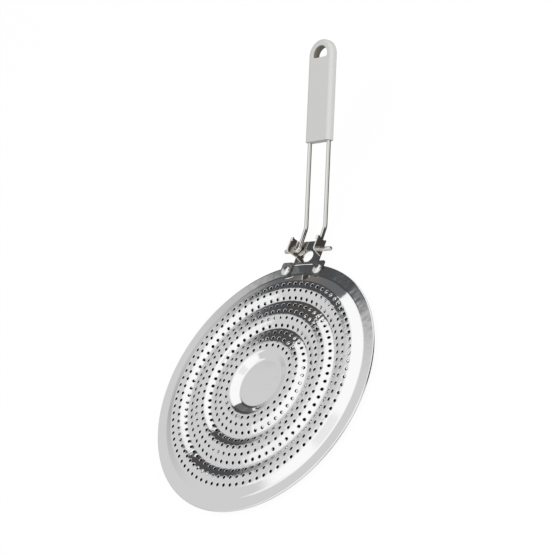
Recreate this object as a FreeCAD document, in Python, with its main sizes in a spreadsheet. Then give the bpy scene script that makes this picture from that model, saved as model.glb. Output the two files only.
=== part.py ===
import FreeCAD, Part
import math
import os

import Sketcher
from FreeCAD import Placement, Rotation, Vector

# Two-layer perforated steel disc for a gas hob, with a stamped bracket riveted to its rim
# and a folding wire handle that ends in a moulded grip.
# Frame: Z up, the disc's underside on Z = 0 and its centre at the origin, handle towards +Y.
# The handle is modelled swung out, as in use.

doc = FreeCAD.newDocument("hob_reducer_ring")

# Driving dimensions in millimetres and degrees.
SIZES = [
    ("plate_radius", 105.0, "disc, over the folded rim"),
    ("sheet_thickness", 0.5, "steel of both plates"),
    ("rim_fold_width", 7.2, "top sheet folded under the lower flange"),
    ("rim_fold_gap", 0.3, "lower flange to the fold's inside"),
    ("flange_width", 9.9, "flat rim outside the sloping wall"),
    ("wall_run", 7.1, "width of the sloping wall, seen from above"),
    ("wave_height", 3.6, "crests above the flange"),
    ("valley_height", 1.0, "valleys above the flange"),
    ("outer_crest_width", 10.1, "flat top of the outermost wave"),
    ("wave_rise_run", 6.9, "valley up to the next crest, going outwards"),
    ("wave_pitch", 24.6, "from valley to valley"),
    ("wave_fall_run", 8.0, "crest down to the next valley, going outwards"),
    ("inner_crest_width", 11.2, "flat top of the innermost wave"),
    ("recess_run", 6.6, "innermost crest down to the plain disc in the middle"),
    ("floor_depth", 3.6, "lower plate's floor below its flange"),
    ("floor_wall_run", 7.4, "width of the lower plate's sloping wall"),
    ("hole_width", 1.95, "punched hole, across its flats"),
    ("hole_ring_inset", 2.4, "outermost ring of holes, inside the top of the wall"),
    ("hole_ring_pitch", 12.18, "from ring to ring"),
    ("hole_ring_count", 5, "rings of holes in each plate"),
    ("holes_first_ring", 12, "holes in the upper plate's innermost ring"),
    ("holes_added", 4, "more holes in each ring outwards, upper plate"),
    ("floor_holes_first_ring", 5, "holes in the lower plate's innermost ring"),
    ("floor_holes_added", 2, "more holes in each ring outwards, lower plate"),
    ("bracket_thickness", 1.2, "stamped steel of the bracket"),
    ("neck_drop", 1.0, "bracket neck's upper face below the flange"),
    ("neck_half_width", 13.0, "bracket neck, half its width"),
    ("neck_tail", 1.6, "neck's end beyond the ears"),
    ("rim_clearance", 0.6, "bracket step to the disc's rim"),
    ("step_run", 2.0, "length of the bracket's step down"),
    ("lobe_width", 11.0, "riveted lobe"),
    ("lobe_clearance", 0.2, "lobe's round end to the foot of the disc's wall"),
    ("shoulder_reach", 1.9, "lobe's shoulder beyond the rim"),
    ("arch_radius", 3.5, "inner corners of the arch between the lobes"),
    ("shoulder_radius", 1.5, "outer corners of the lobes' shoulders"),
    ("rivet_spacing", 33.9, "from rivet to rivet"),
    ("rivet_shank_radius", 2.0, "rivet's shank"),
    ("rivet_head_radius", 4.0, "rivet's upper head"),
    ("rivet_head_height", 1.3, "rivet's upper head"),
    ("rivet_head_rim", 0.5, "height of the upper head's rim, below its bevel"),
    ("rivet_crown_radius", 2.4, "flat top of the upper head"),
    ("rivet_tail_radius", 3.2, "rivet's closed end under the rim"),
    ("rivet_tail_height", 0.9, "rivet's closed end under the rim"),
    ("rivet_fit", 0.04, "rivet shank to its holes, all round"),
    ("hang_hole_radius", 5.25, "hole in the bracket's neck"),
    ("hang_hole_reach", 8.1, "centre of that hole, beyond the disc's rim"),
    ("ear_height", 10.7, "ears above the neck"),
    ("ear_reach", 7.8, "front edge of the ears, beyond the disc's rim"),
    ("ear_length", 12.8, "ears, along the handle"),
    ("ear_angle", 10.0, "ears lean outwards, degrees"),
    ("ear_corner_radius", 2.0, "front upper corner of an ear"),
    ("lip_width", 3.0, "lip at an ear's rear corner, along the handle"),
    ("lip_clearance", 0.35, "lip to the passing leg"),
    ("wire_radius", 1.75, "handle wire"),
    ("pin_setback", 4.7, "hinge axis behind the ears' front edge"),
    ("leg_lift", 0.45, "legs above the neck, at the hinge axis"),
    ("pin_fit", 0.09, "pin to the ear's hole, all round"),
    ("pin_stub", 11.2, "pin's free end outside its ear"),
    ("leg_clearance", 0.33, "legs to the ears' inner faces"),
    ("pin_bend_radius", 2.5, "bend between pin and leg"),
    ("lower_leg", 21.0, "hinge axis to the kink"),
    ("lower_leg_angle", 2.0, "lower leg's slope, degrees"),
    ("handle_angle", 24.0, "slope of the handle above the kink, degrees"),
    ("kink_radius", 14.0, "bend at the kink"),
    ("closed_end_depth", 28.0, "wire's closed end inside the grip"),
    ("grip_start", 70.0, "grip's near end, from the kink"),
    ("grip_length", 84.5, "grip, end to end"),
    ("grip_side_wall", 0.95, "grip's sides outside the legs"),
    ("grip_thickness", 8.0, "grip"),
    ("grip_edge_radius", 3.0, "long edges of the grip"),
    ("grip_wire_fit", 0.03, "wire to its channel in the grip, all round"),
    ("eye_radius", 7.3, "arch of the hanging eye"),
    ("eye_flat_drop", 2.3, "eye's flat side below the arch's centre"),
    ("eye_bevel", 0.6, "bevelled rim of the hanging eye"),
]

sheet = doc.addObject("Spreadsheet::Sheet", "Sizes")
for row, (name, value, note) in enumerate(SIZES, start=1):
    sheet.set(f"A{row}", str(value))
    sheet.setAlias(f"A{row}", name)
    sheet.set(f"B{row}", name.replace("_", " ") + ": " + note)
doc.recompute()


def size(name):
    """Value of one driving dimension."""
    return float(sheet.get(name))


# Levels above the surface that the disc lies on, as formulas over the sheet.
FLOOR_TOP = "Sizes.sheet_thickness"
FOLD_TOP = "Sizes.floor_depth"
FOLD_LOW = "Sizes.floor_depth - Sizes.sheet_thickness"
LOWER_FLANGE_TOP = "Sizes.floor_depth + Sizes.sheet_thickness"
FLANGE_TOP = "(Sizes.floor_depth + 2 * Sizes.sheet_thickness)"
CREST = FLANGE_TOP + " + Sizes.wave_height"
VALLEY = FLANGE_TOP + " + Sizes.valley_height"
NECK_TOP = FLANGE_TOP + " - Sizes.neck_drop"
NECK_LOW = NECK_TOP + " - Sizes.bracket_thickness"
LOBE_TOP = FLANGE_TOP + " + Sizes.bracket_thickness"
EAR_TOP = NECK_TOP + " + Sizes.ear_height"
PIN_LEVEL = NECK_TOP + " + Sizes.leg_lift + Sizes.wire_radius"

flange_top = size("floor_depth") + 2 * size("sheet_thickness")
neck_top = flange_top - size("neck_drop")
pin_level = neck_top + size("leg_lift") + size("wire_radius")

# Distances from the disc's centre, from the rim inwards and then outwards.
WALL_FOOT = "Sizes.plate_radius - Sizes.flange_width"
WALL_TOP = WALL_FOOT + " - Sizes.wall_run"
LAST_VALLEY = WALL_TOP + " - Sizes.outer_crest_width - Sizes.wave_rise_run"
FIRST_VALLEY = LAST_VALLEY + " - Sizes.wave_pitch"
FIRST_CREST = FIRST_VALLEY + " - Sizes.wave_fall_run"
RECESS_TOP = FIRST_CREST + " - Sizes.inner_crest_width"
EAR_FRONT = "Sizes.plate_radius + Sizes.ear_reach"
NECK_END = EAR_FRONT + " + Sizes.ear_length + Sizes.neck_tail"
PIN_DISTANCE = EAR_FRONT + " + Sizes.pin_setback"

rivet_radius = (
    size("plate_radius") - size("flange_width") + size("lobe_clearance") + size("lobe_width") / 2
)
rivet_row = math.sqrt(rivet_radius ** 2 - (size("rivet_spacing") / 2) ** 2)
RIVET_ROW = (
    f"sqrt(({WALL_FOOT} + Sizes.lobe_clearance + Sizes.lobe_width / 2) ^ 2"
    " - (Sizes.rivet_spacing / 2) ^ 2)"
)
pin_distance = size("plate_radius") + size("ear_reach") + size("pin_setback")

# Distances from the middle plane.
EAR_WIDTH = "Sizes.bracket_thickness / cos(Sizes.ear_angle)"
PIN_HEIGHT = "(Sizes.bracket_thickness + Sizes.leg_lift + Sizes.wire_radius)"
EAR_FACE = f"Sizes.neck_half_width + {PIN_HEIGHT} * tan(Sizes.ear_angle)"
PIN_END = f"{EAR_FACE} + Sizes.pin_stub"

lean = math.radians(size("ear_angle"))
ear_face = size("neck_half_width") + math.tan(lean) * (
    size("bracket_thickness") + size("leg_lift") + size("wire_radius")
)
leg_offset = (
    ear_face - size("bracket_thickness") / math.cos(lean)
    - size("leg_clearance") - size("wire_radius")
)
LEG_OFFSET = f"{EAR_FACE} - {EAR_WIDTH} - Sizes.leg_clearance - Sizes.wire_radius"
HALF_WIDTH = f"({LEG_OFFSET} + Sizes.wire_radius + Sizes.grip_side_wall)"
half_width = leg_offset + size("wire_radius") + size("grip_side_wall")


def new_body(name):
    """An empty body for one piece, labelled as its file is named."""
    body = doc.addObject("PartDesign::Body", name)
    body.Label = name
    return body


def origin_feature(body, role):
    """A plane or axis of the body's own origin."""
    return next(item for item in body.Origin.OriginFeatures if item.Role == role)


def new_sketch(body, name, plane):
    """A sketch on one of the body's origin planes."""
    sketch = body.newObject("Sketcher::SketchObject", name)
    sketch.AttachmentSupport = [(origin_feature(body, plane), "")]
    sketch.MapMode = "FlatFace"
    return sketch


def bind(sketch, constraint, formula):
    """Add one dimension to a sketch and tie it to a formula."""
    index = sketch.addConstraint(constraint)
    sketch.setExpression(f"Constraints[{index}]", formula)


def pin_point(sketch, geometry, point, x, y):
    """Fix one point of a sketch at two formulas, measured from the origin."""
    bind(sketch, Sketcher.Constraint("DistanceX", -1, 1, geometry, point, 1.0), x)
    bind(sketch, Sketcher.Constraint("DistanceY", -1, 1, geometry, point, 1.0), y)


def draw_outline(sketch, corners):
    """A closed outline of straight lines through corners given as formula pairs."""
    count = len(corners)
    turn = 2 * math.pi / count
    spots = [Vector(math.cos(turn * k), math.sin(turn * k), 0) * 50 for k in range(count)]
    lines = [
        sketch.addGeometry(Part.LineSegment(spots[k], spots[(k + 1) % count]), False)
        for k in range(count)
    ]
    for k in range(count):
        following = lines[(k + 1) % count]
        sketch.addConstraint(Sketcher.Constraint("Coincident", lines[k], 2, following, 1))
    for line, (x, y) in zip(lines, corners):
        pin_point(sketch, line, 1, x, y)


def draw_circle(sketch, x, y, radius):
    """A circle with its centre and radius given as formulas."""
    index = sketch.addGeometry(Part.Circle(Vector(1, 1, 0), Vector(0, 0, 1), 1), False)
    pin_point(sketch, index, 3, x, y)
    bind(sketch, Sketcher.Constraint("Radius", index, 1.0), radius)


def mirrored(corners):
    """The same outline on the other side of the middle plane."""
    return [(f"-({x})", y) for x, y in corners]


def revolve(body, name, sketch):
    """Turn a section about the body's vertical axis."""
    feature = body.newObject("PartDesign::Revolution", name)
    feature.Profile = sketch
    feature.ReferenceAxis = (origin_feature(body, "Z_Axis"), [""])
    feature.Angle = 360
    return feature


def pad(body, name, sketch, length, centred=False, backwards=False):
    """Raise a sketch into solid by a length given as a formula."""
    feature = body.newObject("PartDesign::Pad", name)
    feature.Profile = sketch
    feature.setExpression("Length", length)
    feature.Midplane = centred
    feature.Reversed = backwards
    return feature


def cut_through(body, name, sketch):
    """Cut a sketch right through the body, both ways, and make sure that it removes metal."""
    doc.recompute()
    before = body.Tip.Shape.Volume
    feature = body.newObject("PartDesign::Pocket", name)
    feature.Profile = sketch
    feature.Type = "ThroughAll"
    feature.Midplane = True
    doc.recompute()
    if feature.Shape.isNull() or feature.Shape.Volume >= before:
        raise RuntimeError(f"{name} removes nothing")
    return feature


def treat_edges(body, name, kind, wanted, size_name, amount):
    """Fillet or chamfer the edges for which wanted(edge) holds, by a formula's amount."""
    doc.recompute()
    base = body.Tip
    edges = [f"Edge{k}" for k, edge in enumerate(base.Shape.Edges, start=1) if wanted(edge)]
    if not edges:
        raise RuntimeError(f"{name} finds no edge")
    feature = body.newObject(f"PartDesign::{kind}", name)
    feature.Base = (base, edges)
    feature.setExpression(size_name, amount)
    doc.recompute()
    return feature


def round_edges(body, name, wanted, radius):
    """Round some edges by a radius given as a formula."""
    return treat_edges(body, name, "Fillet", wanted, "Radius", radius)


def ends_at(edge, test):
    """Whether both ends of an edge pass a test on their position."""
    return len(edge.Vertexes) == 2 and all(test(vertex.Point) for vertex in edge.Vertexes)


def upright(edge):
    """Whether a straight edge runs along Z."""
    if len(edge.Vertexes) != 2:
        return False
    start, end = (vertex.Point for vertex in edge.Vertexes)
    return near(start.x, end.x) and near(start.y, end.y)


def near(value, wished):
    """Whether two lengths are the same to a hundredth of a millimetre."""
    return abs(value - wished) < 0.01


def punch_holes(name, pressing, first_ring, added):
    """Cut the rings of square holes through a pressing; each ring has more holes than the last."""
    width = size("hole_width")
    depth = flange_top + size("wave_height") + 2 * size("sheet_thickness")
    punches = []
    rings = int(size("hole_ring_count"))
    outermost = (
        size("plate_radius") - size("flange_width") - size("wall_run") - size("hole_ring_inset")
    )
    for ring in range(rings):
        radius = outermost - (rings - 1 - ring) * size("hole_ring_pitch")
        corner = Vector(radius - width / 2, -width / 2, -size("sheet_thickness"))
        count = int(first_ring + ring * added)
        for k in range(count):
            punch = Part.makeBox(width, width, depth, corner)
            punch.rotate(Vector(), Vector(0, 0, 1), 360 * k / count)
            punches.append(punch)
    tool = doc.addObject("Part::Feature", name + "_punches")
    tool.Shape = Part.makeCompound(punches)
    cut = doc.addObject("Part::Cut", name)
    cut.Base = pressing
    cut.Tool = tool
    cut.Refine = False
    cut.Label = name
    return cut


def punch_rivet_holes(body, name):
    """The two rivet holes, through every layer of this body."""
    sketch = new_sketch(body, name, "XY_Plane")
    for side in ("-", ""):
        draw_circle(
            sketch,
            f"{side}Sizes.rivet_spacing / 2",
            RIVET_ROW,
            "Sizes.rivet_shank_radius + Sizes.rivet_fit",
        )
    cut_through(body, name + "_cut", sketch)


def lowered(corners):
    """The underside of a sheet whose upper face runs through the corners, back to the start."""
    return [(x, f"{y} - Sizes.sheet_thickness") for x, y in reversed(corners)]


# Upper plate: flange, sloping wall, three waves and a plain recessed middle.
top_pressing = new_body("top_pressing")

wave_face = [
    ("0", FLANGE_TOP),
    (f"{RECESS_TOP} - Sizes.recess_run", FLANGE_TOP),
    (RECESS_TOP, CREST),
    (FIRST_CREST, CREST),
    (FIRST_VALLEY, VALLEY),
    (f"{FIRST_VALLEY} + Sizes.wave_rise_run", CREST),
    (f"{LAST_VALLEY} - Sizes.wave_fall_run", CREST),
    (LAST_VALLEY, VALLEY),
    (f"{LAST_VALLEY} + Sizes.wave_rise_run", CREST),
    (WALL_TOP, CREST),
    (WALL_FOOT, FLANGE_TOP),
]
# The flange is folded down round the lower plate's edge and back under it.
FOLD_EDGE = "Sizes.plate_radius - Sizes.rim_fold_width"
FOLD_INSIDE = "Sizes.plate_radius - Sizes.sheet_thickness"
rim_fold = [
    ("Sizes.plate_radius", FLANGE_TOP),
    ("Sizes.plate_radius", FOLD_LOW),
    (FOLD_EDGE, FOLD_LOW),
    (FOLD_EDGE, FOLD_TOP),
    (FOLD_INSIDE, FOLD_TOP),
    (FOLD_INSIDE, LOWER_FLANGE_TOP),
]
section = new_sketch(top_pressing, "top_plate_section", "XZ_Plane")
draw_outline(section, wave_face + rim_fold + lowered(wave_face))
revolve(top_pressing, "top_plate_turned", section)
punch_rivet_holes(top_pressing, "top_plate_rivet_holes")
top_plate = punch_holes(
    "top_plate", top_pressing, size("holes_first_ring"), size("holes_added")
)

# Lower plate: a shallow dish whose flange is gripped in the upper plate's fold.
bottom_pressing = new_body("bottom_pressing")

LOWER_EDGE = f"{FOLD_INSIDE} - Sizes.rim_fold_gap"
dish_face = [
    ("0", FLOOR_TOP),
    (f"{WALL_FOOT} - Sizes.floor_wall_run", FLOOR_TOP),
    (WALL_FOOT, LOWER_FLANGE_TOP),
    (LOWER_EDGE, LOWER_FLANGE_TOP),
]
section = new_sketch(bottom_pressing, "bottom_plate_section", "XZ_Plane")
draw_outline(section, dish_face + lowered(dish_face))
revolve(bottom_pressing, "bottom_plate_turned", section)
punch_rivet_holes(bottom_pressing, "bottom_plate_rivet_holes")
bottom_plate = punch_holes(
    "bottom_plate", bottom_pressing, size("floor_holes_first_ring"), size("floor_holes_added")
)

# Bracket: two lobes on the flange, a step down past the rim, a neck with two ears.
bracket = new_body("handle_bracket")

STEP_START = "Sizes.plate_radius + Sizes.rim_clearance"
STEP_END = f"{STEP_START} + Sizes.step_run"
STEP_DROP = "(Sizes.neck_drop + Sizes.bracket_thickness)"
STEP_SHIFT = f"Sizes.bracket_thickness * tan(atan({STEP_DROP} / Sizes.step_run) / 2)"

section = new_sketch(bracket, "strip_section", "YZ_Plane")
draw_outline(section, [
    ("Sizes.plate_radius", FLANGE_TOP),
    (STEP_START, FLANGE_TOP),
    (STEP_END, NECK_LOW),
    (NECK_END, NECK_LOW),
    (NECK_END, NECK_TOP),
    (f"{STEP_END} + {STEP_SHIFT}", NECK_TOP),
    (f"{STEP_START} + {STEP_SHIFT}", LOBE_TOP),
    ("Sizes.plate_radius", LOBE_TOP),
])
pad(bracket, "strip", section, "2 * Sizes.neck_half_width", centred=True)

LOBE_INSIDE = "(Sizes.rivet_spacing / 2 - Sizes.lobe_width / 2)"
LOBE_OUTSIDE = "(Sizes.rivet_spacing / 2 + Sizes.lobe_width / 2)"
SHOULDER = "Sizes.plate_radius + Sizes.shoulder_reach"
right_side = [
    (LOBE_INSIDE, "Sizes.plate_radius"),
    (LOBE_INSIDE, RIVET_ROW),
    (LOBE_OUTSIDE, RIVET_ROW),
    (LOBE_OUTSIDE, SHOULDER),
    ("Sizes.neck_half_width", SHOULDER),
    ("Sizes.neck_half_width", STEP_START),
]
plan = new_sketch(bracket, "lobe_plan", "XY_Plane")
plan.setExpression("AttachmentOffset.Base.z", FLANGE_TOP)
draw_outline(plan, right_side + mirrored(right_side)[::-1])
pad(bracket, "lobes", plan, "Sizes.bracket_thickness")

plan = new_sketch(bracket, "lobe_end_plan", "XY_Plane")
plan.setExpression("AttachmentOffset.Base.z", FLANGE_TOP)
for side in ("-", ""):
    draw_circle(plan, f"{side}Sizes.rivet_spacing / 2", RIVET_ROW, "Sizes.lobe_width / 2")
pad(bracket, "lobe_ends", plan, "Sizes.bracket_thickness")

# The ears are turned up from the neck's sides and lean outwards.
EAR_RUN = "(Sizes.ear_height + Sizes.bracket_thickness) * tan(Sizes.ear_angle)"
ear = [
    (f"Sizes.neck_half_width - {EAR_WIDTH}", NECK_LOW),
    ("Sizes.neck_half_width", NECK_LOW),
    (f"Sizes.neck_half_width + {EAR_RUN}", EAR_TOP),
    (f"Sizes.neck_half_width + {EAR_RUN} - {EAR_WIDTH}", EAR_TOP),
]
section = new_sketch(bracket, "ear_section", "XZ_Plane")
section.setExpression("AttachmentOffset.Base.z", f"-({EAR_FRONT})")
draw_outline(section, ear)
draw_outline(section, mirrored(ear))
pad(bracket, "ears", section, "Sizes.ear_length", backwards=True)

# A small lip is turned in from each ear's rear upper corner, just clear of the legs.
LIP_END = f"{LEG_OFFSET} + Sizes.wire_radius + Sizes.lip_clearance"
LIP_ROOT = f"Sizes.neck_half_width + {EAR_RUN} - {EAR_WIDTH} / 2"
lip = [
    (LIP_END, f"{EAR_TOP} - Sizes.bracket_thickness"),
    (LIP_ROOT, f"{EAR_TOP} - Sizes.bracket_thickness"),
    (LIP_ROOT, EAR_TOP),
    (LIP_END, EAR_TOP),
]
section = new_sketch(bracket, "lip_section", "XZ_Plane")
section.setExpression(
    "AttachmentOffset.Base.z", f"-({EAR_FRONT} + Sizes.ear_length - Sizes.lip_width)"
)
draw_outline(section, lip)
draw_outline(section, mirrored(lip))
pad(bracket, "lips", section, "Sizes.lip_width", backwards=True)

sketch = new_sketch(bracket, "hang_hole", "XY_Plane")
draw_circle(sketch, "0", "Sizes.plate_radius + Sizes.hang_hole_reach", "Sizes.hang_hole_radius")
cut_through(bracket, "hang_hole_cut", sketch)

sketch = new_sketch(bracket, "pin_holes", "YZ_Plane")
draw_circle(sketch, PIN_DISTANCE, PIN_LEVEL, "Sizes.wire_radius + Sizes.pin_fit")
cut_through(bracket, "pin_holes_cut", sketch)

punch_rivet_holes(bracket, "bracket_rivet_holes")


def ear_corner(edge):
    """Front upper corner of an ear, across its sheet."""
    front = size("plate_radius") + size("ear_reach")
    top = neck_top + size("ear_height")
    return ends_at(edge, lambda point: near(point.y, front) and near(point.z, top))


def upright_at(edge, x, y):
    """Whether an upright edge stands at y, on either side at x."""
    return upright(edge) and ends_at(
        edge, lambda point: near(abs(point.x), x) and near(point.y, y)
    )


def arch_corner(edge):
    """Inner corner where a lobe meets the strip."""
    inside = size("rivet_spacing") / 2 - size("lobe_width") / 2
    return upright_at(edge, inside, size("plate_radius"))


def shoulder_corner(edge):
    """Outer corner of a lobe's shoulder."""
    outside = size("rivet_spacing") / 2 + size("lobe_width") / 2
    return upright_at(edge, outside, size("plate_radius") + size("shoulder_reach"))


round_edges(bracket, "ear_corners", ear_corner, "Sizes.ear_corner_radius")
round_edges(bracket, "arch_corners", arch_corner, "Sizes.arch_radius")
round_edges(bracket, "shoulders", shoulder_corner, "Sizes.shoulder_radius")


def add_rivet(name, side):
    """A rivet through bracket, both flanges and the fold; side is -1 or 1."""
    body = new_body(name)
    profile = new_sketch(body, name + "_section", "XZ_Plane")
    draw_outline(profile, [
        ("0", f"{FOLD_LOW} - Sizes.rivet_tail_height"),
        ("Sizes.rivet_tail_radius", f"{FOLD_LOW} - Sizes.rivet_tail_height"),
        ("Sizes.rivet_tail_radius", FOLD_LOW),
        ("Sizes.rivet_shank_radius", FOLD_LOW),
        ("Sizes.rivet_shank_radius", LOBE_TOP),
        ("Sizes.rivet_head_radius", LOBE_TOP),
        ("Sizes.rivet_head_radius", f"{LOBE_TOP} + Sizes.rivet_head_rim"),
        ("Sizes.rivet_crown_radius", f"{LOBE_TOP} + Sizes.rivet_head_height"),
        ("0", f"{LOBE_TOP} + Sizes.rivet_head_height"),
    ])
    revolve(body, name + "_turned", profile)
    body.setExpression("Placement.Base.x", f"{side} * Sizes.rivet_spacing / 2")
    body.setExpression("Placement.Base.y", RIVET_ROW)
    return body


rivet_left = add_rivet("rivet_left", -1)
rivet_right = add_rivet("rivet_right", 1)


def rounded_path(corners, radii):
    """Straight runs with tangent arcs; one radius for each inner corner, 0 for a sharp one."""
    edges = []
    start = corners[0]
    for corner, following, radius in zip(corners[1:-1], corners[2:], radii):
        arriving = (corner - start).normalize()
        leaving = (following - corner).normalize()
        turn = arriving.getAngle(leaving)
        reach = radius * math.tan(turn / 2)
        arc_start = corner - arriving * reach
        arc_end = corner + leaving * reach
        edges.append(Part.LineSegment(start, arc_start).toShape())
        if radius > 0:
            bisector = (leaving - arriving).normalize()
            centre = corner + bisector * (radius / math.cos(turn / 2))
            arc_middle = centre - bisector * radius
            edges.append(Part.Arc(arc_start, arc_middle, arc_end).toShape())
        start = arc_end
    edges.append(Part.LineSegment(start, corners[-1]).toShape())
    return Part.Wire(edges)


def along(rise, length):
    """A step of the given length in the middle plane, at a slope in degrees."""
    angle = math.radians(rise)
    return Vector(0, length * math.cos(angle), length * math.sin(angle))


def wire_route():
    """Centre line of the handle wire, from pin end to pin end; its hidden end is squared."""
    hinge = Vector(0, pin_distance, pin_level)
    kink = hinge + along(size("lower_leg_angle"), size("lower_leg"))
    closed = kink + along(size("handle_angle"), size("grip_start") + size("closed_end_depth"))
    aside = Vector(leg_offset, 0, 0)
    tip = Vector(ear_face + size("pin_stub"), 0, 0)
    right = [hinge + tip, hinge + aside, kink + aside, closed + aside]
    left = [closed - aside, kink - aside, hinge - aside, hinge - tip]
    bends = [size("pin_bend_radius"), size("kink_radius"), 0]
    return rounded_path(right + left, bends + bends[::-1])


def add_sweep(name, radius):
    """A round bar of the given radius, a formula, along the wire's route."""
    ring = doc.addObject("Part::Circle", name + "_ring")
    ring.setExpression("Radius", radius)
    ring.setExpression("Placement.Base.x", PIN_END)
    ring.setExpression("Placement.Base.y", PIN_DISTANCE)
    ring.setExpression("Placement.Base.z", PIN_LEVEL)
    ring.Placement.Rotation = Rotation(Vector(0, 1, 0), 90)
    sweep = doc.addObject("Part::Sweep", name)
    sweep.Sections = [ring]
    sweep.Spine = (route, [f"Edge{k}" for k in range(1, len(route.Shape.Edges) + 1)])
    sweep.Solid = True
    sweep.Frenet = False
    sweep.Transition = "Right corner"
    return sweep


# Handle wire: pins through the ears, two kinked legs and a closed end inside the grip.
route = doc.addObject("Part::Feature", "wire_route")
route.Shape = wire_route()
handle_wire = add_sweep("handle_wire", "Sizes.wire_radius")
handle_wire.Label = "handle_wire"

# Grip: a flat moulded bar with a round end and a D-shaped hanging eye.
grip_body = new_body("grip_moulding")

ARCH_LINE = f"Sizes.grip_start + Sizes.grip_length - {HALF_WIDTH}"
arch_line = size("grip_start") + size("grip_length") - half_width
plan = new_sketch(grip_body, "grip_plan", "XY_Plane")
draw_outline(plan, [
    (f"-{HALF_WIDTH}", "Sizes.grip_start"),
    (HALF_WIDTH, "Sizes.grip_start"),
    (HALF_WIDTH, ARCH_LINE),
    (f"-{HALF_WIDTH}", ARCH_LINE),
])
pad(grip_body, "grip_bar", plan, "Sizes.grip_thickness", centred=True)

plan = new_sketch(grip_body, "grip_end_plan", "XY_Plane")
draw_circle(plan, "0", ARCH_LINE, HALF_WIDTH)
pad(grip_body, "grip_round_end", plan, "Sizes.grip_thickness", centred=True)


def draw_eye(sketch):
    """A round eye with a flat side towards the wire."""
    radius = size("eye_radius")
    drop = size("eye_flat_drop")
    flat_line = arch_line - drop
    dip = math.asin(drop / radius)
    circle = Part.Circle(Vector(0, arch_line, 0), Vector(0, 0, 1), radius)
    arch = sketch.addGeometry(Part.ArcOfCircle(circle, -dip, math.pi + dip), False)
    half = radius * math.cos(dip)
    flat = Part.LineSegment(Vector(-half, flat_line, 0), Vector(half, flat_line, 0))
    base = sketch.addGeometry(flat, False)
    sketch.addConstraint(Sketcher.Constraint("Coincident", arch, 2, base, 1))
    sketch.addConstraint(Sketcher.Constraint("Coincident", base, 2, arch, 1))
    sketch.addConstraint(Sketcher.Constraint("Horizontal", base))
    sketch.addConstraint(Sketcher.Constraint("PointOnObject", arch, 3, -2))
    bind(sketch, Sketcher.Constraint("DistanceY", -1, 1, arch, 3, arch_line), ARCH_LINE)
    bind(sketch, Sketcher.Constraint("Radius", arch, radius), "Sizes.eye_radius")
    bind(
        sketch,
        Sketcher.Constraint("DistanceY", -1, 1, base, 1, flat_line),
        f"{ARCH_LINE} - Sizes.eye_flat_drop",
    )


sketch = new_sketch(grip_body, "eye_plan", "XY_Plane")
draw_eye(sketch)
cut_through(grip_body, "eye", sketch)


def on_face(point):
    """On the grip's front or back face."""
    return near(abs(point.z), size("grip_thickness") / 2)


def in_eye(edge):
    """Whether an edge belongs to the hanging eye."""
    middle = edge.CenterOfMass
    return math.hypot(middle.x, middle.y - arch_line) < size("eye_radius")


def long_edge(edge):
    """An outer edge of the front or back face, without the near end's."""
    flat = ends_at(edge, on_face) and not in_eye(edge)
    return flat and not near(edge.CenterOfMass.y, size("grip_start"))


def eye_edge(edge):
    """A rim edge of the hanging eye."""
    return ends_at(edge, on_face) and in_eye(edge)


round_edges(grip_body, "grip_long_edges", long_edge, "Sizes.grip_edge_radius")
treat_edges(grip_body, "eye_rim", "Chamfer", eye_edge, "Size", "Sizes.eye_bevel")

grip_body.setExpression(
    "Placement.Base.y", f"{PIN_DISTANCE} + Sizes.lower_leg * cos(Sizes.lower_leg_angle)"
)
grip_body.setExpression(
    "Placement.Base.z", f"{PIN_LEVEL} + Sizes.lower_leg * sin(Sizes.lower_leg_angle)"
)
grip_body.Placement.Rotation = Rotation(Vector(1, 0, 0), size("handle_angle"))

wire_channel = add_sweep("wire_channel", "Sizes.wire_radius + Sizes.grip_wire_fit")
handle_grip = doc.addObject("Part::Cut", "handle_grip")
handle_grip.Base = grip_body
handle_grip.Tool = wire_channel
handle_grip.Label = "handle_grip"

doc.recompute()

for item in doc.Objects:
    troubles = {"Invalid", "Error"} & set(item.State)
    if troubles:
        raise RuntimeError(f"{item.Name}: {sorted(troubles)}")

PIECES = [
    top_plate, bottom_plate, bracket, rivet_left, rivet_right, handle_wire, handle_grip,
]
os.makedirs("parts", exist_ok=True)
for piece in PIECES:
    shape = piece.Shape
    if shape.isNull() or not shape.isValid():
        raise RuntimeError(f"{piece.Label} has no valid shape")
    shape.exportStep(f"parts/{piece.Label}.step")
    box = shape.BoundBox
    print(
        f"{piece.Label}: {len(shape.Solids)} solid, {shape.Volume:.0f} mm3, "
        f"x {box.XMin:.1f} to {box.XMax:.1f}, y {box.YMin:.1f} to {box.YMax:.1f}, "
        f"z {box.ZMin:.1f} to {box.ZMax:.1f}"
    )
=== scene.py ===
# %% [markdown]
# A hob reducer ring lies on a white table. It is a thin double disc of bright sheet steel with
# many small holes, a riveted bracket, a folding wire handle and a moulded grip. The packed
# model gives the frame: every size below is in that frame, and millimetres become metres once.

import bpy
import numpy as np
from mathutils import Matrix, Vector


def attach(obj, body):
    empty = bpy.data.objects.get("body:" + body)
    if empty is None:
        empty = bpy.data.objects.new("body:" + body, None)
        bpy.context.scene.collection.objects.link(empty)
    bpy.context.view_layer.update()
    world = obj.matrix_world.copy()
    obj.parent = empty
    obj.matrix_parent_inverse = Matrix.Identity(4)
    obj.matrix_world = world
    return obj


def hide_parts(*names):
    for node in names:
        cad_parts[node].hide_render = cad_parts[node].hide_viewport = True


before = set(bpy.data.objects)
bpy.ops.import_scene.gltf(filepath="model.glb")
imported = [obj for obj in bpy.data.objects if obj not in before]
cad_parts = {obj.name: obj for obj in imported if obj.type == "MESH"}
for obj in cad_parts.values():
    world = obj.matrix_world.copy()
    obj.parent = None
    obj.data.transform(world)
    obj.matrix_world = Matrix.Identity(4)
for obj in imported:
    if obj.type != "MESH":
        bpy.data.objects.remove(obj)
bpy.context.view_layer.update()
MM = 0.001

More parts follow.
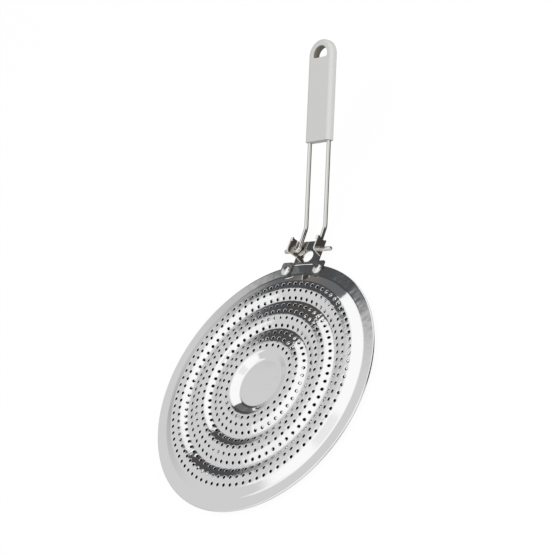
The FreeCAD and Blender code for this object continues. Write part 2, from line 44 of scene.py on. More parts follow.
# %% [markdown]
# Every new piece is a surface: an array of points with rows and columns, and faces that join
# neighbours. Two helpers serve all of them. One makes the quads of a grid by index arithmetic.
# The other puts points and faces into a mesh, lets it ride on one body of the hinge and says
# which solids it stands for.

# %% Grid and mesh helpers
def grid_faces(ids, wrap_rows=False, wrap_columns=False):
    """Quads of an index grid: a point, the one below, the one diagonally below, the one beside."""
    if wrap_rows:
        ids = np.concatenate([ids, ids[:1]], axis=0)
    if wrap_columns:
        ids = np.concatenate([ids, ids[:, :1]], axis=1)
    return np.stack([ids[:-1, :-1], ids[1:, :-1], ids[1:, 1:], ids[:-1, 1:]], axis=-1).reshape(-1, 4)


def make_piece(name, points, faces, body, *nodes, crease_degrees=180):
    """A smooth-shaded mesh from points in millimetres, riding on a body in place of some solids."""
    mesh = bpy.data.meshes.new(name)
    mesh.from_pydata((np.asarray(points) * MM).tolist(), [], [face.tolist() for face in faces])
    mesh.validate()
    mesh.polygons.foreach_set("use_smooth", np.ones(len(mesh.polygons), dtype=bool))
    if crease_degrees < 180:
        mesh.set_sharp_from_angle(angle=np.radians(crease_degrees))
    piece = bpy.data.objects.new(name, mesh)
    bpy.context.scene.collection.objects.link(piece)
    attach(piece, body)
    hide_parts(*nodes)
    print(name, "has", len(mesh.polygons), "faces")
    return piece


print("a grid of 3 by 3 points has", len(grid_faces(np.arange(9).reshape(3, 3))), "quads")

# %% [markdown]
# The upper plate is pressed into concentric waves. Seen in section it is a line of knots, each
# a radius and a height over the rim: a plain middle, three slightly domed crests, two narrow
# valleys, a sloping wall and a flat rim. Averaging the line over a short window rounds every
# bend as a press tool does.

# %% Section of the upper plate
PLATE_RADIUS = 105.0
SHEET = 0.5
RIM_TOP = 4.6
MIDDLE_RADIUS = 20.6
WALL_FOOT = 95.5
CREST_KNOTS = [
    (27.0, 3.35), (33.5, 3.72), (38.4, 3.35),
    (53.1, 3.35), (57.6, 3.72), (63.0, 3.32),
    (78.2, 3.4), (80.8, 3.72), (86.5, 3.35), (88.2, 3.15),
]
VALLEY_KNOTS = [(46.4, 1.0), (49.0, 1.45), (71.2, 1.05), (72.6, 1.4)]
BEND_WINDOW = np.linspace(-0.6, 0.6, 9)


def rounded_line(radius, knot_radii, knot_heights):
    """The knots' line, averaged over a window round each radius."""
    window = np.abs(np.asarray(radius)[..., None] + BEND_WINDOW)
    return np.interp(window, knot_radii, knot_heights).mean(axis=-1)


rim_knots = [(radius, 0.0) for radius in (0.0, MIDDLE_RADIUS, WALL_FOOT, PLATE_RADIUS)]
wave_knots = np.array(sorted(rim_knots + CREST_KNOTS + VALLEY_KNOTS))


def wave_height(radius):
    """Height of the upper plate's top face over the table."""
    return RIM_TOP + rounded_line(radius, wave_knots[:, 0], wave_knots[:, 1])


print("crest at", wave_height(58.0).round(2), "valley at", wave_height(46.4).round(2))

# %% [markdown]
# A plate with hundreds of round holes could be cut with booleans, which leave ragged faces.
# Here each hole gets a cell instead: a small curved rectangle whose points slide from the
# hole's circle to the rectangle's border. Cells share their side points with their neighbours,
# so a ring of cells is one closed band.

# %% Cells round the holes
def ring_of_cells(radius, count, shift, collars, half_band, around, first_id):
    """Points and faces of one band of holes.

    Round each hole run circles with the collars' radii and last the cell's border, a rectangle
    met in the same directions. A local point (u, v) lies at the ring's radius plus u and at
    the hole's angle plus v / radius.
    """
    turn = 2 * np.pi * np.arange(around) / around
    circle = np.stack([np.cos(turn), np.sin(turn)])
    border = circle / np.abs(circle).max(axis=0) * [[half_band], [np.pi * radius / count]]
    local = np.stack([collar * circle for collar in collars] + [border])
    hole_angle = 2 * np.pi * (np.arange(count) + shift) / count
    radii = np.broadcast_to(radius + local[:, 0], (count, len(local), around))
    angles = hole_angle[:, None, None] + local[:, 1] / radius
    ids = first_id + np.arange(radii.size).reshape(radii.shape)
    side = around // 8
    shared = np.arange(side, 3 * side + 1)
    joined = ids.copy()
    joined[:, -1, shared] = np.roll(ids, -1, axis=0)[:, -1, (around - shared) % around]
    faces = np.concatenate([grid_faces(cell, wrap_columns=True) for cell in joined])
    outer = joined[:, -1, np.arange(-side, side)]
    inner = joined[:, -1, np.arange(5 * side, 3 * side, -1)]
    return radii, angles, faces, inner.ravel(), outer.ravel()


trial_faces = ring_of_cells(30.0, 30, 0.0, [1.0], 2.0, 16, 0)[2]
print("a band of 30 plain cells has", len(trial_faces), "faces")

# %% [markdown]
# Two closed loops with different numbers of points are joined like a zip: every step of a loop
# makes a triangle with the point that the other loop has reached by then. So bands with
# different numbers of holes meet without a gap.

# %% Zip two loops
def zip_loops(inner, outer, angles):
    """Triangles between two loops of point numbers, both counter-clockwise."""
    a_angle, b_angle = angles[inner] % (2 * np.pi), angles[outer] % (2 * np.pi)
    a, a_angle = inner[np.argsort(a_angle)], np.sort(a_angle)
    b, b_angle = outer[np.argsort(b_angle)], np.sort(b_angle)
    a_next, b_next = np.roll(a, -1), np.roll(b, -1)
    reached_b = b[np.searchsorted(b_angle, np.roll(a_angle, -1), side="right") - 1]
    reached_a = a[np.searchsorted(a_angle, np.roll(b_angle, -1), side="left") - 1]
    return np.concatenate([np.stack([a, reached_b, a_next], 1), np.stack([reached_a, b, b_next], 1)])


trial_angles = 2 * np.pi * np.array([0, 1, 2, 0, 1, 2, 3]) / np.array([3, 3, 3, 4, 4, 4, 4])
trial_zip = zip_loops(np.arange(3), np.arange(3, 7), trial_angles)
print("a zip between 3 and 4 points has", len(trial_zip), "triangles")

# %% [markdown]
# All the bands of a plate are built in a row, from the inside out, and each numbers its points
# after those before it. Every point is kept as a radius, a height and an angle. The punch
# draws the sheet down a little round each hole, so the circles there lie lower.

# %% Bands of holes
def hole_bands(height, rings, collars, sinks, half_band, around):
    """Sections, angles, faces, border loops and number of points of the bands of cells.

    rings is a list of (radius, count, shift); collars are the radii of the circles round a hole
    and sinks how far the sheet has sunk there.
    """
    sinks = np.append(sinks, 0)
    sections, angles, faces, borders, total = [], [], [], [], 0
    for radius, count, shift in rings:
        radii, turns, cells, inner, outer = ring_of_cells(
            radius, count, shift, collars, half_band, around, total
        )
        sections.append(np.stack([radii, height(radii) - sinks[:, None]], -1).reshape(-1, 2))
        angles.append(turns.ravel())
        faces.append(cells)
        borders.append((inner, outer))
        total += radii.size
    return sections, angles, faces, borders, total


# %% [markdown]
# A whole perforated face is three things zipped together: plain loops round a pole in the
# middle, the bands of cells, and the rim's section turned once round. One mesh for all three
# has no seams, so reflections run across it as they do on one pressed sheet.

# %% Perforated sheet
MIDDLE_START = 0.4
MIDDLE_GAP = 0.9
MIDDLE_LOOPS = 30
MIDDLE_AROUND = 96


def loop_ids(first, rows, count):
    """Point numbers and angles of plain loops that lie one outside the other."""
    ids = first + np.arange(rows * count).reshape(rows, count)
    return ids, np.tile(2 * np.pi * np.arange(count) / count, rows)


def perforated_sheet(height, rings, collars, sinks, half_band, around, rim):
    """One face of a perforated plate: bands of cells, middle disc, rim and the zips between.

    rim is an array of (radius, height) rows that carries the face on from the outermost band.
    A point lies at (radius * cos angle, radius * sin angle, height).
    """
    sections, angles, faces, borders, total = hole_bands(
        height, rings, collars, sinks, half_band, around
    )
    middle_end = rings[0][0] - half_band - MIDDLE_GAP
    middle = np.linspace(MIDDLE_START, middle_end, MIDDLE_LOOPS)[::-1]
    middle_ids, middle_angle = loop_ids(total, MIDDLE_LOOPS, MIDDLE_AROUND)
    sections.append(np.repeat(np.stack([middle, height(middle)], 1), MIDDLE_AROUND, axis=0))
    angles.append(middle_angle)
    total += middle_ids.size
    pole = total
    sections.append(np.array([[0.0, float(height(0.0))]]))
    angles.append(np.zeros(1))
    total += 1

    rim_count = len(borders[-1][1])
    rim_ids, rim_angle = loop_ids(total, len(rim), rim_count)
    sections.append(np.repeat(rim, rim_count, axis=0))
    angles.append(rim_angle + 2 * np.pi * (rings[-1][2] - 0.5) / rings[-1][1])

    angle = np.concatenate(angles)
    radius, level = np.concatenate(sections).T
    pole_loop = middle_ids[-1]
    fan = np.stack([np.full(MIDDLE_AROUND, pole), pole_loop, np.roll(pole_loop, -1)], 1)
    faces.append(grid_faces(middle_ids[::-1], wrap_columns=True))
    faces.append(grid_faces(rim_ids, wrap_columns=True))
    triangles = [fan, zip_loops(middle_ids[0], borders[0][0], angle)]
    for inside, outside in zip(borders[:-1], borders[1:]):
        triangles.append(zip_loops(inside[1], outside[0], angle))
    triangles.append(zip_loops(borders[-1][1], rim_ids[0], angle))
    points = np.stack([radius * np.cos(angle), radius * np.sin(angle), level], 1)
    return points, [*np.concatenate(faces), *np.concatenate(triangles)]


# %% [markdown]
# The upper plate has ten rings of holes, and each ring has six holes more than the one inside
# it, so they stay equally far apart. The rings aren't in step, and the shifts say by what share
# of a hole's pitch each one is turned.

# %% Rings of holes
FIRST_RING = 30.9
RING_PITCH = 6.08
FIRST_COUNT = 30
ADDED_HOLES = 6
RING_SHIFTS = [0.17, 0.03, -0.11, -0.33, -0.46, -0.22, 0.17, 0.03, -0.14, -0.3]
HALF_BAND = 2.3
HOLE_RADIUS = 1.25
HOLE_SINK = 0.035
COLLAR_RADIUS = 1.7
COLLAR_SINK = 0.005
HOLE_POINTS = 16

top_rings = [
    (FIRST_RING + RING_PITCH * k, FIRST_COUNT + ADDED_HOLES * k, shift)
    for k, shift in enumerate(RING_SHIFTS)
]
print(sum(count for _, count, _ in top_rings), "holes in", len(top_rings), "rings")

# %% [markdown]
# Outside the holes the sheet runs down a sloping wall to the flat rim. There it turns over in a
# round fold and comes back underneath, which stiffens the edge and holds the lower plate. All
# of this is one line in section, so it is written as rows of radius and height.

# %% Folded rim
FOLD_RADIUS = 0.75
FOLD_WIDTH = 7.2
FOLD_START = PLATE_RADIUS - FOLD_RADIUS
WALL_GAP = 0.7
WALL_LOOPS = 24
FOLD_LOOPS = 8
HEM_LOOPS = 4

wall_radii = np.linspace(top_rings[-1][0] + HALF_BAND + WALL_GAP, FOLD_START, WALL_LOOPS)
fold_turn = np.linspace(np.pi / 2, -np.pi / 2, FOLD_LOOPS + 1)[1:]
fold_radii = FOLD_START + FOLD_RADIUS * np.cos(fold_turn)
fold_heights = wave_height(FOLD_START) - FOLD_RADIUS + FOLD_RADIUS * np.sin(fold_turn)
hem_radii = np.linspace(FOLD_START, PLATE_RADIUS - FOLD_WIDTH, HEM_LOOPS + 1)[1:]
hem_heights = np.full(HEM_LOOPS, RIM_TOP - 2 * FOLD_RADIUS)
top_rim = np.concatenate([
    np.stack([wall_radii, wave_height(wall_radii)], 1),
    np.stack([fold_radii, fold_heights], 1),
    np.stack([hem_radii, hem_heights], 1),
])
print("the rim's section has", len(top_rim), "points")

# %% [markdown]
# A pressed sheet has the same thickness all over, so one Solidify modifier can add it, on the
# side away from the modelled face. The new faces take the piece's second material, so the
# hidden inner side can be painted near-black as shade. The press also leaves uneven ground
# between the holes, and a value stored at each point says how much of it the material should show.

# %% Sheet metal helpers
PRESSED_FROM = FIRST_RING - 4
PRESSED_TO = WALL_FOOT - 6
PRESSED_EASE = 2


def thicken(piece, thickness):
    """Give a sheet its thickness on the side away from its faces."""
    solidify = piece.modifiers.new("sheet thickness", "SOLIDIFY")
    solidify.thickness = thickness * MM
    solidify.offset = -1
    solidify.material_offset = 1
    solidify.material_offset_rim = 1


def mark_pressed(piece):
    """Store how much each point was worked by the press: 1 among the holes, 0 beyond them."""
    spots = np.empty(3 * len(piece.data.vertices), dtype=np.float32)
    piece.data.vertices.foreach_get("co", spots)
    radius = np.hypot(*spots.reshape(-1, 3)[:, :2].T) / MM
    worked = np.clip((radius - PRESSED_FROM) / PRESSED_EASE, 0, 1)
    worked *= np.clip((PRESSED_TO - radius) / PRESSED_EASE, 0, 1)
    layer = piece.data.attributes.new("pressed", "FLOAT", "POINT")
    layer.data.foreach_set("value", worked.astype(np.float32))
    print(piece.name, "is worked at", int((worked > 0).sum()), "points")


# %% [markdown]
# Now the upper plate is only a matter of putting the parts together: the wavy height, the ten
# rings, the two circles round each hole and the folded rim.

# %% Upper plate
points, faces = perforated_sheet(
    wave_height, top_rings, [HOLE_RADIUS, COLLAR_RADIUS], [HOLE_SINK, COLLAR_SINK],
    HALF_BAND, HOLE_POINTS, top_rim,
)
top_plate = make_piece("perforated_top", points, faces, "ring", "top_plate")
mark_pressed(top_plate)
thicken(top_plate, SHEET)

# %% [markdown]
# The lower plate is a shallow dish that closes the disc from below, and it has the same rings
# of holes, each turned by its own share of a pitch. So an upper hole mostly shows steel painted
# dark as shade, and light comes through where two holes meet. It is seen only through those
# holes and from underneath, so its holes are plain octagons.

# %% Section of the lower plate
FLOOR_RADIUS = 87.7
FLOOR_HOLE_RADIUS = 1.25
FLOOR_HOLE_POINTS = 8
FLOOR_RING_SHIFTS = [0.92, 0.36, 0.12, 0.9, 0.68, 0.24, 0.34, 0.28, 0.4, 0.0]
DISH_TOP = 4.1
DISH_EDGE = 103.8
DISH_GAP = 0.5
DISH_LOOPS = 14


def dish_height(radius):
    """Flat floor, a straight wall and a flat flange inside the rim's fold."""
    knot_radii = [0.0, FLOOR_RADIUS, WALL_FOOT, PLATE_RADIUS]
    knot_heights = [SHEET, SHEET, DISH_TOP, DISH_TOP]
    return rounded_line(radius, knot_radii, knot_heights)


floor_rings = [
    (radius, count, shift) for (radius, count, _), shift in zip(top_rings, FLOOR_RING_SHIFTS)
]
dish_radii = np.linspace(floor_rings[-1][0] + HALF_BAND + DISH_GAP, DISH_EDGE, DISH_LOOPS)
dish_rim = np.stack([dish_radii, dish_height(dish_radii)], 1)
print("the dish is", round(float(dish_height(DISH_EDGE) - dish_height(0.0)), 2), "mm deep")

# %% [markdown]
# Smooth shading would run round the sharp rim of a punched hole and make the flat floor look
# scaly. Edges that only one face uses are where the sheet was cut, so those are marked sharp.

# %% Lower plate
def crisp_cuts(piece):
    """Mark as sharp the edges that only one face uses: the bounds of the holes and the sheet."""
    mesh = piece.data
    used = np.empty(len(mesh.loops), dtype=np.int32)
    mesh.loops.foreach_get("edge_index", used)
    cut = np.bincount(used, minlength=len(mesh.edges)) == 1
    crisp = mesh.attributes.new("sharp_edge", "BOOLEAN", "EDGE")
    crisp.data.foreach_set("value", cut)
    print(piece.name, "has", int(cut.sum()), "crisp edges")


points, faces = perforated_sheet(
    dish_height, floor_rings, [FLOOR_HOLE_RADIUS], [0.0], HALF_BAND, FLOOR_HOLE_POINTS, dish_rim
)
bottom_plate = make_piece("perforated_bottom", points, faces, "ring", "bottom_plate")
mark_pressed(bottom_plate)
crisp_cuts(bottom_plate)
thicken(bottom_plate, SHEET)

# %% [markdown]
# Two dome-headed rivets hold the bracket to the rim. A rivet is round, so its section is enough:
# it runs from the crown over the dome, under the head, down the shank and round the tail.
# Turning a section about an upright axis is the classic surface with two parameters, the place
# along the section and the angle.

# %% Rivets
RIVET_HALF_SPACING = 16.95
RIVET_ROW = 99.37
RIVET_AROUND = 48
LOBE_TOP = 5.8
HEAD_RADIUS = 4.0
HEAD_HEIGHT = 1.3
SHANK_RADIUS = 2.0
TAIL_RADIUS = 3.2
TAIL_TOP = 3.1
TAIL_LOW = 2.2
TAIL_CHAMFER_WIDE = 0.6
TAIL_CHAMFER_HIGH = 0.3
DOME_STEPS = 12
POLE_RADIUS = 0.001


def turned(section, x, y, around):
    """Each section point (radius, height) goes once round the upright axis through (x, y)."""
    angle = 2 * np.pi * np.arange(around) / around
    radius, height = section[:, 0][:, None], section[:, 1][:, None]
    points = np.stack([
        x + radius * np.cos(angle), y + radius * np.sin(angle), height + 0 * angle,
    ], -1).reshape(-1, 3)
    faces = grid_faces(np.arange(len(points)).reshape(len(section), around), wrap_columns=True)
    return points, faces


def dome_section(steps):
    """Radius goes with sin t to the power 0.9 and height with cos t to the power 0.8."""
    t = np.linspace(0, np.pi / 2, steps)
    radius = np.maximum(HEAD_RADIUS * np.sin(t) ** 0.9, POLE_RADIUS)
    return np.stack([radius, LOBE_TOP + HEAD_HEIGHT * np.cos(t) ** 0.8], 1)


shank = [(SHANK_RADIUS, LOBE_TOP), (SHANK_RADIUS, TAIL_TOP)]
tail = [
    (TAIL_RADIUS, TAIL_TOP), (TAIL_RADIUS, TAIL_LOW + TAIL_CHAMFER_HIGH),
    (TAIL_RADIUS - TAIL_CHAMFER_WIDE, TAIL_LOW), (POLE_RADIUS, TAIL_LOW),
]
rivet_section = np.concatenate([dome_section(DOME_STEPS), shank, tail])
rivets = []
for node, side in (("rivet_left", -1), ("rivet_right", 1)):
    points, faces = turned(rivet_section, side * RIVET_HALF_SPACING, RIVET_ROW, RIVET_AROUND)
    rivets.append(make_piece(node + "_turned", points, faces, "ring", node, crease_degrees=50))

# %% [markdown]
# The handle is one bent wire: a pin through an ear, a short level leg, a kink up to the long
# leg, the closed end inside the grip, and back. Its centre line has straight runs and round
# bends, so it is written down as corners, each with the radius of its bend.

# %% Centre line of the wire
WIRE_RADIUS = 1.75
PIN = np.array([0.0, 117.5, 5.8])
PIN_END = 24.8
LEG_OFFSET = 10.3
LOWER_LEG = 21.0
LOWER_ANGLE = np.radians(2.0)
HANDLE_ANGLE = np.radians(24.0)
CLOSED_END = 98.0
PIN_BEND = 2.5
KINK_BEND = 14.0
END_BEND = 4.0
BEND_STEPS = 12


def along(angle, length):
    """A step in the middle plane, at an angle above level."""
    return np.array([0.0, length * np.cos(angle), length * np.sin(angle)])


def bent_line(corners, radii, steps):
    """Corner points joined by straight runs, each inner corner replaced by a round bend.

    A bend starts radius * tan(half the turn) before its corner, and its point at angle p is
    centre + radius * (sin p * arriving direction - cos p * inward direction).
    """
    line = [corners[0]]
    for before, corner, after, radius in zip(corners[:-2], corners[1:-1], corners[2:], radii):
        arriving = (corner - before) / np.linalg.norm(corner - before)
        leaving = (after - corner) / np.linalg.norm(after - corner)
        turn = np.arccos(arriving @ leaving)
        start = corner - arriving * radius * np.tan(turn / 2)
        inward = (leaving - arriving * np.cos(turn)) / np.sin(turn)
        centre = start + inward * radius
        p = np.linspace(0, turn, steps)[:, None]
        line += list(centre + radius * (np.sin(p) * arriving - np.cos(p) * inward))
    return np.array(line + [corners[-1]])


aside = np.array([LEG_OFFSET, 0.0, 0.0])
tip = np.array([PIN_END, 0.0, 0.0])
kink = PIN + along(LOWER_ANGLE, LOWER_LEG)
closed = kink + along(HANDLE_ANGLE, CLOSED_END)
route = [PIN + tip, PIN + aside, kink + aside, closed + aside]
route += [corner * [-1, 1, 1] for corner in route[::-1]]
bends = [PIN_BEND, KINK_BEND, END_BEND]
line = bent_line(route, bends + bends[::-1], BEND_STEPS)
wire_length = np.linalg.norm(np.diff(line, axis=0), axis=1).sum()
print("the wire is", round(float(wire_length)), "mm long when straight")

# %% [markdown]
# The wire's surface is a circle carried along that line. Every run is nearly at right angles to
# one fixed direction, so that direction keeps the circle from twisting. At the two cut ends the
# circle shrinks over a few steps, which closes and rounds them.

# %% Wire handle
WIRE_AROUND = 28
UP_TILT = 0.2
END_STEPS = np.array([0.0, 0.1, 0.3, 0.6])
END_SHARES = np.array([0.02, 0.72, 0.93, 1.0])


def tube(line, radii, up, around):
    """A circle carried along a line: centre + radius * (cos t * normal + sin t * binormal)."""
    tangent = np.gradient(line, axis=0)
    tangent /= np.linalg.norm(tangent, axis=1, keepdims=True)
    normal = up - (tangent @ up)[:, None] * tangent
    normal /= np.linalg.norm(normal, axis=1, keepdims=True)
    binormal = np.cross(tangent, normal)
    angle = 2 * np.pi * np.arange(around) / around
    rings = normal[:, None] * np.cos(angle)[:, None] + binormal[:, None] * np.sin(angle)[:, None]
    points = (line[:, None] + rings * np.asarray(radii)[:, None, None]).reshape(-1, 3)
    ids = np.arange(len(points)).reshape(len(line), around)
    return points, grid_faces(ids[:, ::-1], wrap_columns=True)


inward = np.array([1.0, 0.0, 0.0]) * END_STEPS[:, None]
line = np.concatenate([line[0] - inward, line[1:-1], line[-1] + inward[::-1]])
radii = np.full(len(line), WIRE_RADIUS)
radii[:len(END_SHARES)] *= END_SHARES
radii[-len(END_SHARES):] *= END_SHARES[::-1]
up = np.array([0.0, -np.sin(UP_TILT), np.cos(UP_TILT)])
points, faces = tube(line, radii, up, WIRE_AROUND)
wire = make_piece("bent_wire", points, faces, "handle", "handle_wire")

# %% [markdown]
# The grip is a flat moulded bar with one round end, one square end and a D-shaped eye for a
# hook. Its outline is drawn from the eye's centre, and the direction to each of its points
# gives a point of the eye's outline. So the two outlines have the same number of points and
# the skin between them needs no boolean.

# %% Outlines of the grip
GRIP_START = 70.0
GRIP_LENGTH = 84.5
HALF_WIDTH = 13.0
EYE_CENTRE = GRIP_START + GRIP_LENGTH - HALF_WIDTH
EYE_RADIUS = 7.3
EYE_FLAT = 2.3
END_POINTS = 13
SIDE_POINTS = 29
ARCH_POINTS = 48


def outline_points():
    """The outer outline from the middle of the square end: end, side, half circle, side, end.

    Returns the points from the eye's centre and the way in which the rounded edge pulls each
    one in: along the outline's normal, but only sideways on the square end.
    """
    reach = EYE_CENTRE - GRIP_START
    end = np.linspace(0, 1, END_POINTS)
    side = np.linspace(0, 1, SIDE_POINTS + 1)[1:]
    arch = np.linspace(0, np.pi, ARCH_POINTS + 1)[1:]
    pull_x = np.concatenate([end, np.ones(SIDE_POINTS), np.cos(arch)])
    pull_y = np.concatenate([np.zeros(END_POINTS + SIDE_POINTS), np.sin(arch)])
    y = np.concatenate([np.full(END_POINTS, -reach), -reach * (1 - side), HALF_WIDTH * np.sin(arch)])
    half = np.stack([HALF_WIDTH * pull_x, y, pull_x, pull_y], 1)
    mirrored = half[END_POINTS + SIDE_POINTS - 1:0:-1] * [-1, 1, -1, 1]
    whole = np.concatenate([half, mirrored])
    return whole[:, :2], whole[:, 2:]


def eye_outline(outer):
    """The eye's outline in the direction of each outer point: a circle cut by a flat."""
    direction = outer / np.linalg.norm(outer, axis=1, keepdims=True)
    down = np.maximum(-direction[:, 1], 1e-9)
    distance = np.minimum(EYE_RADIUS, EYE_FLAT / down)
    return direction * distance[:, None], direction


outer, pull = outline_points()
eye, eye_push = eye_outline(outer)
print("each outline of the grip has", len(outer), "points")

# %% [markdown]
# The grip's skin is one closed strip of rings: over the eye's rounded lip onto the front face,
# out across it, round the soft outer edge, and back the same way behind. Both roundings are
# quarter circles, and between them a few rings blend one outline into the other.

# %% Grip
HALF_THICK = 4.0
EDGE_ROUND = 3.0
EYE_ROUND = 0.9
LIP_STEPS = 5
EDGE_STEPS = 9
FACE_SHARES = (0.08, 0.3, 0.6, 0.95)

lip_turn = np.linspace(0, np.pi / 2, LIP_STEPS)
lip_out = EYE_ROUND * (1 - np.cos(lip_turn))
lip_height = HALF_THICK - EYE_ROUND * (1 - np.sin(lip_turn))
edge_turn = np.linspace(0, np.pi / 2, EDGE_STEPS)
edge_in = EDGE_ROUND * (1 - np.sin(edge_turn))
edge_height = HALF_THICK - EDGE_ROUND + EDGE_ROUND * np.cos(edge_turn)

face_inside = eye + eye_push * EYE_ROUND
face_outside = outer - pull * EDGE_ROUND
front = [(eye + eye_push * out, height) for out, height in zip(lip_out, lip_height)]
front += [(face_inside * (1 - t) + face_outside * t, HALF_THICK) for t in FACE_SHARES]
front += [(outer - pull * away, height) for away, height in zip(edge_in, edge_height)]
back = [(flat, -height) for flat, height in front[::-1]]
rings = np.array([
    np.column_stack([flat, np.full(len(flat), height)]) for flat, height in front + back
])

lengthwise = along(HANDLE_ANGLE, 1.0)
upright = np.array([0.0, -np.sin(HANDLE_ANGLE), np.cos(HANDLE_ANGLE)])
local = rings.reshape(-1, 3)
points = kink + local[:, :1] * [1, 0, 0]
points = points + (local[:, 1:2] + EYE_CENTRE) * lengthwise + local[:, 2:] * upright
ids = np.arange(len(points)).reshape(rings.shape[:2])
faces = grid_faces(ids, wrap_rows=True, wrap_columns=True)
grip = make_piece("moulded_grip", points, faces, "handle", "handle_grip", crease_degrees=40)

# %% [markdown]
# The eye is painted darker inside: painted shade stands for the shade that falls in the hole.
# A painted picture could show it, but it would need unwrapped faces. A value stored at the
# points of the eye's inner rings is simpler, and the plastic turns it into a darker tint.

# %% Painted shade in the eye
# Painted shade: full on the eye's innermost rings, half on the next ones.
eye_painted_shade = np.zeros(rings.shape[:2], dtype=np.float32)
eye_painted_shade[[0, -1]] = 1.0
eye_painted_shade[[1, -2]] = 0.5
layer = grip.data.attributes.new("eye_painted_shade", "FLOAT", "POINT")
layer.data.foreach_set("value", eye_painted_shade.ravel())
print("grime lies on", int((eye_painted_shade > 0).sum()), "points of the grip")

# %% [markdown]
# The bracket is a stamping with sharp sheet edges that catch the light. Its solid has the right
# form, so it stays, and gets its doubles merged and its edges broken by a narrow bevel.

# %% Bracket edges
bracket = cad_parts["handle_bracket"]
weld = bracket.modifiers.new("merge doubles", "WELD")
weld.merge_threshold = 0.002 * MM
edge_break = bracket.modifiers.new("broken edges", "BEVEL")
edge_break.width = 0.12 * MM
edge_break.segments = 2
edge_break.limit_method = "ANGLE"
edge_break.angle_limit = np.radians(28)
shading = bracket.modifiers.new("even shading", "WEIGHTED_NORMAL")
shading.weight = 100
shading.keep_sharp = True
print("bracket edges broken by", round(edge_break.width / MM, 3), "mm")

# %% [markdown]
# A material is a tree of nodes. Real surfaces are never even, and noise over the object's own
# coordinates gives that unevenness: it needs no picture, and it moves with the piece when the
# handle folds. These helpers add the noise and turn it into gloss or bumps.

# %% Noise and bumps
NOISE_LOW = 0.3
NOISE_HIGH = 0.7


def new_material(name):
    """A node material, with its tree, its surface shader and its object coordinates."""
    material = bpy.data.materials.new(name)
    material.use_nodes = True
    tree = material.node_tree
    place = tree.nodes.new("ShaderNodeTexCoord").outputs["Object"]
    return material, tree, tree.nodes["Principled BSDF"], place


def add_noise(tree, place, scale, detail, stretch=(1, 1, 1)):
    """Noise over object coordinates; scale is in features per metre."""
    mapping = tree.nodes.new("ShaderNodeMapping")
    mapping.inputs["Scale"].default_value = stretch
    noise = tree.nodes.new("ShaderNodeTexNoise")
    noise.inputs["Scale"].default_value = scale
    noise.inputs["Detail"].default_value = detail
    tree.links.new(place, mapping.inputs["Vector"])
    tree.links.new(mapping.outputs["Vector"], noise.inputs["Vector"])
    return noise.outputs["Fac"]


def spread(tree, value, low, high, from_low=NOISE_LOW, from_high=NOISE_HIGH):
    """Map a value's own range, which for noise is about 0.3 to 0.7, onto another."""
    node = tree.nodes.new("ShaderNodeMapRange")
    node.inputs["From Min"].default_value = from_low
    node.inputs["From Max"].default_value = from_high
    node.inputs["To Min"].default_value = low
    node.inputs["To Max"].default_value = high
    tree.links.new(value, node.inputs["Value"])
    return node.outputs["Result"]


def add_bump(tree, shader, heights):
    """Stack bumps given as (height output, depth in metres) on a shader's normal."""
    normal = None
    for height, depth in heights:
        bump = tree.nodes.new("ShaderNodeBump")
        bump.inputs["Strength"].default_value = 1.0
        bump.inputs["Distance"].default_value = depth
        tree.links.new(height, bump.inputs["Height"])
        if normal is not None:
            tree.links.new(normal, bump.inputs["Normal"])
        normal = bump.outputs["Normal"]
    tree.links.new(normal, shader.inputs["Normal"])


# %% [markdown]
# Some finishes cover only a part of a piece. A mask says where: a value that the mesh stores, or
# arithmetic on the place and the direction of a face. The mask then blends a shader's input
# towards another colour or number, so one material serves the whole piece.

# %% Masks
NUMBER_SOCKETS = (2, 3, 0)
COLOUR_SOCKETS = (6, 7, 2)


def stored(tree, name, output="Fac"):
    """A value or colour that the mesh stores at its points."""
    node = tree.nodes.new("ShaderNodeAttribute")
    node.attribute_name = name
    return node.outputs[output]


def arithmetic(tree, operation, first, second=0.0):
    """One step of arithmetic on a socket; the second operand is a socket or a number."""
    node = tree.nodes.new("ShaderNodeMath")
    node.operation = operation
    tree.links.new(first, node.inputs[0])
    if isinstance(second, float):
        node.inputs[1].default_value = second
    else:
        tree.links.new(second, node.inputs[1])
    return node.outputs["Value"]


def blend_input(tree, share, socket, value):
    """Blend what a shader input has towards a constant, by a share.

    A Mix node keeps its numbers and its colours in different sockets: before, after, result.
    """
    mix = tree.nodes.new("ShaderNodeMix")
    before, after, result = NUMBER_SOCKETS
    if socket.type == "RGBA":
        mix.data_type = "RGBA"
        before, after, result = COLOUR_SOCKETS
    if socket.is_linked:
        tree.links.new(socket.links[0].from_socket, mix.inputs[before])
    else:
        mix.inputs[before].default_value = socket.default_value
    mix.inputs[after].default_value = value
    tree.links.new(share, mix.inputs[0])
    tree.links.new(mix.outputs[result], socket)


# %% [markdown]
# Bright plated steel shows its surroundings, so its look is mostly light. The material adds
# what a pressed sheet has: long shallow dents that bend the reflections, a fine grain, press
# marks among the holes, and a roughness that varies a little where hands and cloths have been.

# %% Bright steel
SMEAR_SCALE = 35
SMEAR_LOW = 0.7
SMEAR_HIGH = 1.5
GRAIN_SCALE = 900
GRAIN_DEPTH = 0.000004
MARK_SCALE = 330


